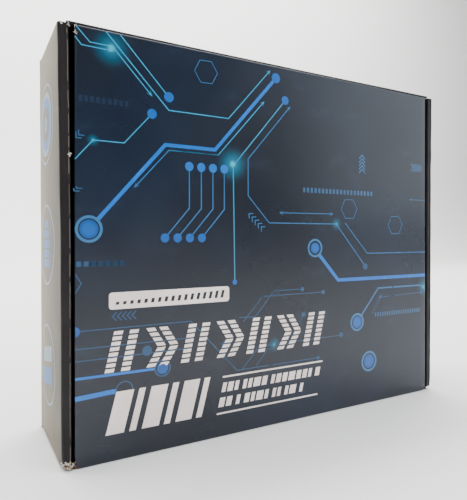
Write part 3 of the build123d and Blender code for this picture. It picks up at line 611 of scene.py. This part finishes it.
def wall_place(sign):
    """The function that leans, bows and dents one side wall."""
    rng = random.Random(4 if sign < 0 else 5)
    dents = [(rng.uniform(20, 200), rng.uniform(6, 14), rng.uniform(-0.3, 0.12), rng.uniform(-20, 25))
             for _ in range(12)]

    def place(x, y, z):
        share = max(0.0, (z - SIDE_LOW) / (SIDE_TOP - SIDE_LOW))
        across = (y - FACE) / (BACK - FACE)
        out = max(0.0, min(1.0, (x - WALL_IN - 2) / 2.0))
        bulge = 1.3 if sign < 0 else 0.6
        bulge *= math.sin(math.pi * across) ** 0.8 * math.sin(math.pi * share) ** 0.5
        bulge += sum(a * math.exp(-((z - c) / w) ** 2 - ((y - d) / 14) ** 2) for c, w, a, d in dents)
        shift = curve(z, LEAN[sign]) * (1 - 0.55 * across) + bulge * out
        if shift < 0:
            shift *= 1 - 0.3 * (1 - out)
        front = max(0.0, 1 - (y - FACE) / 4.0)
        crush = math.exp(-((z - SIDE_LOW) / 3.0) ** 2) * (1.0 if sign < 0 else 0.35)
        nick = math.exp(-((z - 153.5) / 1.6) ** 2) * (1.0 if sign < 0 and x < 128 else 0.0) * front
        dx = -crush * 1.3 * front * max(0, (x - 128.5) / 3) + wobble(x, y, z, 14, 0.14) * front
        dy = crush * 0.8 * front + wobble(x, z, y, 9, 0.2) * front + nick * 0.5
        ragged = wobble(x, y, 5, 2.2, 1.6) * crush * front
        return (sign * (x + shift + dx), y + dy, z + ragged + max(0, crush * front * 0.5))
    return place


def build_sides():
    for sign, side in ((-1, "left"), (1, "right")):
        loop, outer = wall_profile(sign)
        place = wall_place(sign)
        zs = [SIDE_LOW + s for s in (0, 0.5, 1, 1.6, 2.4, 3.4, 5, 7)] + span(SIDE_LOW + 10, SIDE_TOP - 4, 2)
        zs += [SIDE_TOP - s for s in (2.5, 1.5, 0.8, 0.3, 0)]
        mats = ["left_print" if sign < 0 else "side_print", "kraft"]
        obj = shell_along_z(side + "_side_board", loop, zs, place, mats, outer)
        printed(obj, ROOT, side + "_outer_wall", side + "_rolled_edge", side + "_inner_wall")


def build_wear_and_highlight_lines():
    """A pale line along the left rolled edge's inner corner, in short uneven lengths: partly rubbed wear,
    partly a painted highlight on the crease.
    """
    rng = random.Random(21)
    z = 5.0
    while z < 210:
        length = rng.uniform(4, 22)
        top = min(z + length, 211.5)
        half = rng.uniform(0.07, 0.17)
        left, right = [], []
        for s in span(z, top, 2.0):
            x = -WALL_IN - 0.75 - curve(s, LEAN[-1]) * (0.7 if s < 170 else 1.0) + rng.uniform(-0.03, 0.03)
            left.append((x - half, s))
            right.append((x + half, s))
        # each length is partly rubbed wear, partly a painted highlight on the crease
        quads(left, right, "worn_line", 0.12, 0.5, lambda x, z: 0.0)
        z = top + rng.uniform(0.5, 5)
    join_ink("strip_", ROOT)


def build_base_and_walls():
    us, vs = lines(-HALF_W, HALF_W, 0.9, 6), lines(0, HEIGHT, 0.9, 6)

    def back(x, z, w):
        bulge = 0.5 * (1 - (x / HALF_W) ** 2) * (1 - ((z - 108) / 108) ** 2)
        sign = 1 if x < 0 else -1
        shift = 0.45 * curve(z, LEAN[sign]) * max(0.0, (abs(x) - 110) / (HALF_W - 110))
        return (-x + sign * shift, BACK - w + bulge, z)
    obj = slab("base_board", us, vs, back, ["side_print", "kraft"], round_edges(us, vs, (0.9,) * 4, 0.9),
               lambda u, v: 0)
    printed(obj, ROOT, "base_panel")
    half = WALL_IN + 1.4
    us, vs = lines(-half, half, 0.5, 8), lines(-30.3, BACK - 0.7, 0.3, 8)
    obj = slab("hinge_board", us, vs, lambda x, y, w: (-x, y, w), ["side_print", "kraft"],
               round_edges(us, vs, (0.4, 0.4, 0, 0), 0.2), lambda x, y: 0,
               inside=lambda x, y: 0 if abs(x) > 118 else 1)
    printed(obj, ROOT, "hinge_wall")

    def top(x, y, w):
        sag = 0.25 * (1 - (x / half) ** 2) * max(0.0, (BACK - y) / 64)
        return (x, y, HEIGHT - w - sag + wobble(x, y, 0, 30, 0.08))
    us, vs = lines(-half, half, 0.5, 4), lines(FACE + 1.0, BACK - 0.7, 0.6, 6)
    obj = slab("tuck_wall_board", us, vs, top, ["side_print", "kraft"],
               round_edges(us, vs, (0.4, 0.4, 0.8, 0), 0.7), lambda x, y: 0,
               inside=lambda x, y: 0 if y < FACE + 4 or abs(x) > 118 else 1)
    printed(obj, ROOT, "tuck_wall")


def shreds(name, centre, spread, count, size, body, mat, seed):
    """Torn paper at a worn corner: short curled strips that stick out of the board."""
    rng = random.Random(seed)
    verts, faces = [], []
    for _ in range(count):
        base = Vector([c + rng.uniform(-s, s) for c, s in zip(centre, spread)])
        ahead = Vector((rng.uniform(-1, 1), rng.uniform(-1.0, 0.1), rng.uniform(-0.8, 0.8))).normalized()
        side = ahead.cross(Vector((rng.uniform(-1, 1), rng.uniform(-1, 1), rng.uniform(-1, 1)))).normalized()
        up = ahead.cross(side)
        length, wide = size * rng.uniform(0.5, 1.3), size * rng.uniform(0.1, 0.3)
        first = len(verts)
        for k in range(4):
            s = k / 3
            middle = base + ahead * length * s + up * length * 0.35 * s * s * rng.uniform(0.6, 1.2)
            half = wide * (1 - 0.6 * s)
            for a, b in ((-half, 0), (half, 0), (half, 0.09), (-half, 0.09)):
                verts.append(tuple(middle + side * a + up * b))
        faces += swept(4, 4, first)
    printed(add_mesh(name, verts, faces, mat), body)


def build_wear():
    shreds("corner_shreds_low", (-126.2, -31.2, 2.6), (2.6, 0.5, 1.3), 34, 1.5, ROOT, "torn_white", 3)
    shreds("corner_shreds_kraft", (-126.4, -31.0, 2.2), (2.6, 0.4, 1.2), 30, 1.5, ROOT, "torn_kraft", 5)
    shreds("corner_shreds_wall", (-129.8, -30.6, 3.2), (0.8, 0.6, 1.4), 12, 1.1, ROOT, "torn_white", 9)
    shreds("lid_shreds_top", (-123.9, -31.9, 211.6), (0.5, 0.2, 2.4), 12, 0.9, "lid", "torn_white", 11)
    shreds("strip_nick", (-126.3, -32.0, 151.6), (0.35, 0.2, 1.3), 7, 1.1, ROOT, "torn_white", 13)
    shreds("strip_top_scuff", (-129.0, -31.9, 213.4), (2.4, 0.4, 0.7), 12, 0.9, ROOT, "torn_white", 17)
    shreds("lid_corner_right", (124.2, -31.9, 1.6), (0.5, 0.3, 0.8), 6, 0.8, "lid", "torn_kraft", 19)


# ================================================================ printed artwork
def ink_piece(outline, colour, height):
    """A thin prism on the lid's face. outline is a list of (x, z) points, counter-clockwise from outside."""
    n = len(outline)
    verts = [(x, FACE - lid_bow(x, z) - height, z) for x, z in outline]
    verts += [(x, FACE - lid_bow(x, z) + INK_ROOT, z) for x, z in outline]
    faces = [tuple(range(n)), tuple(range(2 * n - 1, n - 1, -1))]
    faces += [(b, a, a + n, b + n) for a, b in ((k, (k + 1) % n) for k in range(n))]
    INK.append((colour, verts, faces))


def quads(strip_a, strip_b, colour, height, depth=INK_ROOT, bow=lid_bow):
    """A band between two lines of (x, z) points, as a closed thin prism."""
    n, verts, faces = len(strip_a), [], []
    for lift in (-height, depth):
        for line in (strip_a, strip_b):
            verts += [(x, FACE - bow(x, z) + lift, z) for x, z in line]
    for k in range(n - 1):
        a, b, c, d = k, k + 1, n + k + 1, n + k
        faces.append((a, b, c, d))
        faces.append((2 * n + d, 2 * n + c, 2 * n + b, 2 * n + a))
        faces.append((b, a, 2 * n + a, 2 * n + b))
        faces.append((d, c, 2 * n + c, 2 * n + d))
    faces.append((0, n, 3 * n, 2 * n))
    faces.append((2 * n - 1, n - 1, 3 * n - 1, 4 * n - 1))
    INK.append((colour, verts, faces))


def disc(x, z, r, colour, height=0.06):
    ink_piece([(x + r * math.cos(a), z + r * math.sin(a)) for a in
               (2 * math.pi * k / 28 for k in range(28))], colour, height)


def ring(x, z, outer, inner, colour, height=0.06, sides=32, turn=0.0):
    angles = [turn + 2 * math.pi * k / sides for k in range(sides + 1)]
    quads([(x + inner * math.cos(a), z + inner * math.sin(a)) for a in angles],
          [(x + outer * math.cos(a), z + outer * math.sin(a)) for a in angles], colour, height)


def trace(points, width, colour):
    """A line of constant width with mitred corners."""
    width = width if width > 0.9 else width * 0.78      # thin lines print thinner
    fine = []
    for (x0, z0), (x1, z1) in zip(points, points[1:]):
        count = max(1, int(math.dist((x0, z0), (x1, z1)) / 9))
        fine += [(x0 + (x1 - x0) * i / count, z0 + (z1 - z0) * i / count) for i in range(count)]
    fine.append(points[-1])
    left, right = [], []
    for k, (x, z) in enumerate(fine):
        before = fine[k - 1] if k else None
        after = fine[k + 1] if k + 1 < len(fine) else None
        dirs = []
        for p, q in ((before, (x, z)), ((x, z), after)):
            if p and q:
                length = math.dist(p, q)
                dirs.append(((q[0] - p[0]) / length, (q[1] - p[1]) / length))
        dx, dz = sum(d[0] for d in dirs) / len(dirs), sum(d[1] for d in dirs) / len(dirs)
        size = math.hypot(dx, dz)
        scale = width / 2 / size / size
        left.append((x - dz * scale, z + dx * scale))
        right.append((x + dz * scale, z - dx * scale))
    quads(right, left, colour, 0.05)


def arrow(points, width, colour):
    """A trace with an arrowhead at its last point."""
    size = 2.3
    trace(points, width, colour)
    (x0, z0), (x1, z1) = points[-2:]
    a = math.atan2(z1 - z0, x1 - x0)
    tip = (x1 + math.cos(a) * size * 0.6, z1 + math.sin(a) * size * 0.6)
    base = [(x1 + size * math.cos(a + t), z1 + size * math.sin(a + t)) for t in (2.5, -2.5)]
    ink_piece([tip, base[0], (x1, z1), base[1]], colour, 0.055)


def chevrons(x, z, step, count, heading, half, width, colour):
    """A row of V strokes that point along heading, in degrees."""
    a = math.radians(heading)
    for k in range(count):
        cx, cz = x + step[0] * k, z + step[1] * k
        arms = [(cx + half * 1.3 * math.cos(a + t), cz + half * 1.3 * math.sin(a + t)) for t in (2.36, -2.36)]
        trace([arms[0], (cx, cz), arms[1]], width, colour)


def squares(x, z, pitch, count, wide, high, colour):
    for k in range(count):
        left, right = x + pitch * k - wide / 2, x + pitch * k + wide / 2
        low, top = z - high / 2, z + high / 2
        ink_piece([(left, low), (right, low), (right, top), (left, top)], colour, 0.05)


def slanted(x, z0, z1, width, colour, lean, height=0.07, slices=0, gap=0.0):
    """A leaning bar, whole or cut into level slices."""
    rows = [(z0, z1)]
    if slices:
        pitch = (z1 - z0 + gap) / slices
        rows = [(z0 + pitch * k, z0 + pitch * (k + 1) - gap) for k in range(slices)]
    for low, high in rows:
        a, b = lean * (low - z0), lean * (high - z0)
        ink_piece([(x + a, low), (x + a + width, low), (x + b + width, high), (x + b, high)], colour, height)


# the ringed discs: x, z, ring's outer and inner radius, disc's radius
TARGETS = ((-117.5, 116, 6.7, 5.3, 4.6), (22, 105.2, 5.8, 4.6, 3.4), (57.6, 55.6, 5.9, 4.7, 3.9),
           (68.5, 28.3, 6.9, 5.5, 4.6), (-79.5, 43.3, 4.6, 3.8, 3.1))


def draw_traces():
    # upper left
    arrow([(-123.5, 213.6), (-117, 207), (-106, 207), (-86, 186)], 0.75, "cyan")
    arrow([(-124.1, 208.5), (-121, 205), (-107, 204.8)], 0.75, "cyan")
    arrow([(-109, 213.6), (-76, 179), (-40, 179), (-12.5, 210)], 0.8, "cyan")
    trace([(-102, 213.6), (-76, 186)], 0.75, "cyan")
    disc(-75.9, 186, 2.7, "disc")
    trace([(-85.3, 176), (-100, 159.5), (-115.5, 159.5), (-124.1, 149.5)], 0.75, "cyan")
    disc(-85.3, 176, 2.6, "disc")
    # the wide trace and its companion
    trace([(-113.4, 120.6), (-78, 160.6), (-48.5, 160.6), (-7.6, 207)], 2.0, "blue")
    disc(-7.6, 207, 3.0, "disc", 0.07)
    arrow([(-46.5, 157.9), (-76, 157.9), (-94, 138.2)], 0.75, "steel")
    arrow([(-76, 157.9), (-46.5, 157.9), (-16.8, 191)], 0.75, "cyan")
    # four parallel lines
    for k in range(4):
        x = -64.2 + 7.15 * k
        trace([(x, 150), (x, 127.6), (x - 14, 111.6)], 0.8, "steel")
        disc(x, 150.2, 2.5, "blue")
        disc(x - 14, 111.6, 2.4, "disc")
    # lines from the bright node
    trace([(-36, 87), (-37, 152.5), (-1, 194.4)], 0.8, "cyan")
    disc(-36, 86.5, 1.5, "disc")
    disc(-0.9, 194.6, 2.6, "disc")
    arrow([(39.4, 120.5), (-12.5, 120.5), (-27.1, 136), (-27.1, 157.2), (2.1, 190.5)], 0.75, "steel")
    trace([(39.4, 120.5), (64.8, 92.6)], 0.75, "steel")
    disc(64.8, 92.4, 2.1, "dim")
    trace([(47, 121.3), (66.6, 101.2), (124.6, 101.2)], 0.7, "steel")
    arrow([(15, 126.8), (35.5, 126.9)], 0.65, "steel")
    arrow([(15, 126.8), (-4, 126.7)], 0.65, "steel")
    arrow([(124.6, 138.9), (109, 138.9)], 0.6, "line")
    # right
    trace([(25.6, 100.7), (41, 84.3), (124.6, 84.3)], 2.3, "blue")
    trace([(61.6, 60.0), (76.9, 77.2), (119.4, 77.2), (124.6, 73.6)], 1.0, "steel")
    trace([(79, 70.9), (120, 71.9)], 0.6, "dim")
    disc(78.8, 70.9, 1.2, "dim")
    disc(120.2, 71.9, 1.2, "dim")
    # lower left
    trace([(-124.1, 66.5), (-63.3, 66.5), (-34.5, 36), (24.5, 36)], 0.65, "dim")
    ink_piece([(-124.0 + 2.2 * math.cos(a), 66.3 + 2.4 * math.sin(a)) for a in
               (math.radians(-90 + 15 * k) for k in range(13))], "deep", 0.06)
    for points in ([(-124.1, 57.9), (-62, 57.6)], [(-124.1, 52), (-67, 52), (-62, 57.6)],
                   [(-31, 36), (-19.5, 48), (43, 48.4)], [(-21.5, 37), (-12.6, 46.5)],
                   [(0.5, 46), (7.3, 56), (13, 64)]):
        trace(points, 0.6, "dim")
    trace([(-33, 66), (-22.3, 65.6), (-9, 80), (12, 80)], 0.65, "dim")
    trace([(-30.3, 63.3), (-17.2, 77.2), (28.6, 77.2)], 0.65, "dim")
    for x, z, r in ((24.5, 36, 1.2), (12, 80, 1.4), (28.6, 77.2, 1.4), (43.6, 48.6, 1.6), (13, 64.3, 1.6)):
        disc(x, z, r, "dim")
    disc(-88, 53.4, 2.6, "dim", 0.045)
    disc(-42, 51, 2.6, "dim", 0.045)
    trace([(-124.1, 43.6), (-84, 43.4)], 1.3, "blue")
    trace([(-124.1, 34), (-104.3, 35)], 2.4, "blue")
    ring(-99.9, 34.9, 4.6, 4.0, "dim")


def draw_marks():
    for x, z, outer, inner, core in TARGETS:
        ring(x, z, outer, inner, "ring" if x != -79.5 else "dim")
        disc(x, z, core, "deep")
        disc(x, z, core * 0.72, "disc" if x != -79.5 else "deep", 0.075)
    for x, z in ((-54, 203), (50.5, 130.5), (93.3, 120.5)):
        ring(x, z, 7.2, 6.8, "steel", sides=6, turn=math.radians(2))
    chevrons(62, 157.5, (0, 2.35), 5, 90, 3.0, 0.8, "steel")
    chevrons(112, 162, (2.2, 0), 5, 0, 2.9, 0.7, "steel")
    chevrons(-26.6, 125.6, (2.1, -1.9), 5, 140, 2.2, 0.7, "steel")
    chevrons(-106, 72.4, (2.5, 0), 5, 180, 2.3, 0.75, "dim")
    chevrons(71.5, 60.5, (1.25, 1.9), 7, 235, 1.7, 0.5, "dim")
    for x, z, arm in ((-122.4, 161.3, 2.6), (-123.4, 135.6, 1.0)):
        trace([(x, z + arm), (x, z), (x + 2.8, z)], 0.7, "line")
        trace([(x - 1.2, z + arm - 1), (x - 1.2, z - 1.4), (x + 1.4, z - 1.4)], 0.7, "line")
    trace([(-124.0, 94.2), (-121.2, 89.6), (-124.0, 84.8)], 0.55, "line")
    squares(-121.6, 179.3, 2.85, 9, 1.9, 3.0, "faint")
    squares(-122.4, 99.0, 3.55, 7, 2.3, 2.6, "dim")
    squares(-115.3, 99.0, 3.55, 5, 2.3, 2.6, "steel")
    squares(13.4, 141.3, 3.0, 20, 1.7, 3.0, "line")
    squares(74.5, 59.3, 2.3, 20, 1.3, 2.8, "line")


def draw_blocks():
    """White blocks: a scale on a plate, a row of sliced bars and arrows, three solid bars and two rules."""
    corners = ((-106.2, 77.5, 180), (-41.3, 77.5, 270), (-41.3, 82.8, 0), (-106.2, 82.8, 90))
    plate = [p for x, z, a in corners for p in arc(x, z, 1.6, a, a + 90, 5)]
    ink_piece(plate, "white", 0.06)
    for k in range(17):
        slanted(-104.5 + 3.7 * k, 78.2, 79.6 + 2.8 * (k / 16), 1.7, "black", 0.25, 0.075)
    # sliced bars and arrow strokes, repeated across the face
    z0, z1, wide, slices, gap = 44.6, 65.0, 4.6, 8, 0.85
    pitch, middle = (z1 - z0 + gap) / slices, (z0 + z1) / 2
    for unit in range(7):
        x = -110 + 20.4 * unit
        if unit % 2 == 0:
            for shift in (0, 8.2):
                slanted(x + shift, z0, z1, wide, "white", 0.24, 0.07, slices, gap)
            continue
        for k in range(slices):
            low, high = z0 + pitch * k, z0 + pitch * (k + 1) - gap
            for shift in (0, 7.0):
                a, b = (x + shift + 7.5 - abs(z - middle) * 0.62 for z in (low, high))
                ink_piece([(a, low), (a + wide, low), (b + wide, high), (b, high)], "white", 0.07)
    for k in range(3):
        slanted(-109.5 + 18.6 * k, 13.6, 34.6, 9.2, "white", 0.26, 0.07)
        slanted(-97.5 + 18.6 * k, 13.6, 34.6, 3.4, "white", 0.26, 0.07)
    trace([(-43.6, 33.5), (28, 33.5)], 0.95, "white")
    trace([(-47.4, 13.2), (24, 13.2)], 0.95, "white")
    rng = random.Random(8)
    for z, x, end in ((25.0, -44.5, 24), (16.8, -46.5, 10)):
        while x < end:
            width = rng.choice((2.4, 3.4, 4.6))
            slanted(x, z, z + 5.2, width, "white", 0.24, 0.06)
            x += width + rng.choice((1.2, 1.2, 3.0))


def between(low, high, z0, z1, colour, rise=0.0):
    """A level band on the left wall, in short lengths that follow its bow."""
    ys = span(low, high, 2)
    quads([(y, z0 + rise * y) for y in ys], [(y, z1 + rise * y) for y in ys], colour, BADGE_INK)


def draw_badges():
    """Three round badges down the left wall, drawn with y in place of x."""
    for z in BADGE_Z:
        ring(BADGE_Y, z, 21.5, 20.3, "pale", BADGE_INK, 60)
    ring(BADGE_Y, 172, 17.0, 14.0, "pale", BADGE_INK, 60)
    ring(BADGE_Y, 172, 14.0, 9.5, "sky", BADGE_INK, 60)
    ring(BADGE_Y, 172, 4.0, 1.5, "pale", BADGE_INK, 40)
    for k in range(5):
        z = 96 + 5.2 * k
        half = 9.5 * math.sqrt(1 - max(0.0, (z + 1.7 - 106) / 16) ** 2)
        between(BADGE_Y - half, BADGE_Y + half, z, z + 4.3, "sky")
    between(BADGE_Y - 13, BADGE_Y + 13, 46, 54, "pale", -0.2)
    between(BADGE_Y - 13, BADGE_Y + 13, 34, 43, "sky", -0.2)


def join_ink(prefix, body, move=None):
    """Makes one piece of each colour from what was drawn."""
    for colour in sorted({c for c, _, _ in INK}):
        verts, faces = [], []
        for c, v, f in INK:
            if c == colour:
                base = len(verts)
                verts += [move(p) for p in v] if move else v
                faces += [tuple(base + i for i in face) for face in f]
        obj = add_mesh(prefix + colour, verts, faces, "ink_" + colour, smooth=False)
        printed(obj, body)
    INK.clear()


def build_artwork():
    draw_traces()
    draw_marks()
    draw_blocks()
    join_ink("lid_art_", "lid")
    wall = wall_place(-1)

    def on_wall(point):
        """From the lid's plane, where it was drawn, to the wall: x becomes y, the lift stays."""
        x, y, z = point
        return wall(HALF_W + FACE - lid_bow(x, z) - y, x, z)
    draw_badges()
    join_ink("left_art_", ROOT, on_wall)


# ================================================================ tray, gun and heads
CAD_LOOKS = {
    "nylon": "plunger_bush battery_holders",
    "board_green": "control_board power_board",
    "steel": "housing_screws charging_port motor_shaft motor_bearings crank_bearing crank_washer gudgeon_pin "
             "rotor_bell connecting_rod",
    "cast_metal": "motor_mount crank_hub",
    "cell_wrap": "battery_cells",
    "core": "stator_core rotor_magnets",
    "copper": "stator_coils",
    "side_print": "corner_flaps",
    "grip": "wiper_seal head_o_rings",
}
# node: material, body, slot, bevel width, bevel segments
SOFTENED = {
    "housing_left": ("housing", ROOT, "housing_plastic", 0.22, 2),
    "housing_right": ("housing", ROOT, "housing_plastic", 0.22, 2),
    "rear_cap": ("cap_plastic", ROOT, "housing_plastic", 0.3, 2),
    "bottom_cap": ("cap_plastic", ROOT, "housing_plastic", 0.3, 2),
    "nose_ring": ("satin_metal", ROOT, "satin_metal", 0.35, 2),
    "plunger": ("satin_metal", "ram", "satin_metal", 0.3, 2),
    "charge_light_ring": ("light_ring", ROOT, "light_plastic", 0.2, 2),
    "display_window": ("glass", ROOT, "display_glass", 0.15, 2),
    "minus_button": ("keys", "minus_key", "light_plastic", 0.2, 2),
    "power_button": ("keys", "power_key", "light_plastic", 0.2, 2),
    "plus_button": ("keys", "plus_key", "light_plastic", 0.2, 2),
    "flat_head": ("head_hard", ROOT, "head_plastic", 0.4, 3),
    "bullet_head": ("head_hard", ROOT, "head_plastic", 0.3, 2),
    "spade_head": ("head_hard", ROOT, "head_plastic", 0.4, 3),
    "head_shanks": ("head_hard", ROOT, "head_plastic", 0.3, 2),
    "ball_head": ("head_soft", ROOT, "head_rubber", 0.3, 2),
    "fork_head": ("head_soft", ROOT, "head_rubber", 0.5, 3),
    "cushion_head": ("head_soft", ROOT, "head_rubber", 0.5, 3),
    "grip_sleeve": ("grip", ROOT, "soft_grip", 0.4, 2),
    "foam_base_layer": ("foam", ROOT, "tray_foam", 0.8, 2),
    "foam_top_layer": ("foam", ROOT, "tray_foam", 1.1, 3),
}


def softened(node, mat, bevel, segments):
    """A copy of a CAD node with its sharp edges eased."""
    bm = bmesh.new()
    bm.from_mesh(NODES[node].data)
    bmesh.ops.remove_doubles(bm, verts=bm.verts, dist=2e-6)
    bmesh.ops.dissolve_limit(bm, angle_limit=math.radians(0.5), verts=bm.verts, edges=bm.edges)
    sharp = [e for e in bm.edges if e.is_manifold and e.calc_face_angle(0) > math.radians(35)
             and e.calc_length() > 0.5 * MM]
    bmesh.ops.bevel(bm, geom=sharp, offset=bevel * MM, offset_type="OFFSET", segments=segments, profile=0.6,
                    affect="EDGES", clamp_overlap=True)
    for face in bm.faces:
        face.smooth = True
    for edge in bm.edges:
        edge.smooth = not (edge.is_manifold and edge.calc_face_angle(0) > math.radians(38))
    mesh = bpy.data.meshes.new(node + "_look")
    bm.to_mesh(mesh)
    bm.free()
    mesh.materials.append(MATS[mat])
    return put_in_scene(mesh.name, mesh)


def build_contents():
    for mat, names in CAD_LOOKS.items():
        for name in names.split():
            NODES[name].data.materials.clear()
            NODES[name].data.materials.append(MATS[mat])
    for node, (mat, body, slot, bevel, segments) in SOFTENED.items():
        obj = finish_piece(softened(node, mat, bevel, segments), body, slot, node)


# ================================================================ stage, light and camera
def area(name, place, aim, size, power, colour=(1, 1, 1)):
    light = bpy.data.lights.new(name, "AREA")
    light.shape = "RECTANGLE"
    light.size, light.size_y = size
    light.energy = power
    light.color = colour
    obj = put_in_scene(name, light)
    obj.location = place
    obj.rotation_euler = (Vector(aim) - Vector(place)).to_track_quat("-Z", "Y").to_euler()


def build_stage():
    t = Tree("stage_paper")
    t.set(Base_Color=t.mix(t.noise(3), (0.86, 0.86, 0.86, 1), (0.9, 0.9, 0.9, 1)), Roughness=0.9,
          Specular_IOR_Level=0.1)
    MATS["stage_paper"] = t.mat
    r, far, wide, high = 500.0, 1600.0, 3000.0, 2600.0
    line = [(-1500, 0), (-700, 0), (0, 0), (far - r, 0)]
    line += arc(far - r, r, r, -90 + 90 / 16, 0, 15)
    line += [(far, high)]
    verts = [(x, y, z - 0.06) for x in (-wide, 0, wide) for y, z in line]
    n = len(line)
    faces = [(a, a + n, a + n + 1, a + 1) for i in (0, 1) for a in range(i * n, i * n + n - 1)]
    floor = add_mesh("floor", verts, faces, "stage_paper", closed=False)
    world = bpy.data.worlds.new("room")
    world.use_nodes = True
    world.node_tree.nodes["Background"].inputs["Color"].default_value = (0.95, 0.97, 1.0, 1)
    world.node_tree.nodes["Background"].inputs["Strength"].default_value = 0.3
    bpy.context.scene.world = world
    area("top_light", (0.0, -0.35, 1.8), (0, -0.1, 0), (2.6, 2.4), 66)
    area("right_wall_light", (1.5, -1.0, 0.8), (0, 0, 0.15), (1.2, 1.3), 13, (0.86, 0.93, 1.0))
    area("backdrop_light", (0.0, 0.6, 1.9), (0, 1.7, 0.6), (3.4, 0.8), 120, (1.0, 0.98, 0.95))
    area("front_light", (-0.9, -1.6, 1.3), (0, 0, 0.1), (0.9, 0.9), 4.5)


def build_camera():
    data = bpy.data.cameras.new("view")
    data.lens = 34.35
    data.sensor_width = 36.0
    data.sensor_fit = "AUTO"
    data.shift_x, data.shift_y = 0.009, -0.0236
    data.clip_start = 0.01
    cam = put_in_scene("view", data)
    cam.location = (-0.1704, -0.2681, 0.1120)
    yaw, pitch = math.radians(28.99), math.radians(-0.12)
    ahead = Vector((math.sin(yaw) * math.cos(pitch), math.cos(yaw) * math.cos(pitch), math.sin(pitch)))
    cam.rotation_euler = ahead.to_track_quat("-Z", "Y").to_euler()
    bpy.context.scene.camera = cam


def main():
    make_materials()
    build_lid()
    build_tuck()
    build_ears()
    build_creases()
    build_sides()
    build_base_and_walls()
    build_wear_and_highlight_lines()
    build_wear()
    build_artwork()
    build_contents()
    build_stage()
    build_camera()


main()
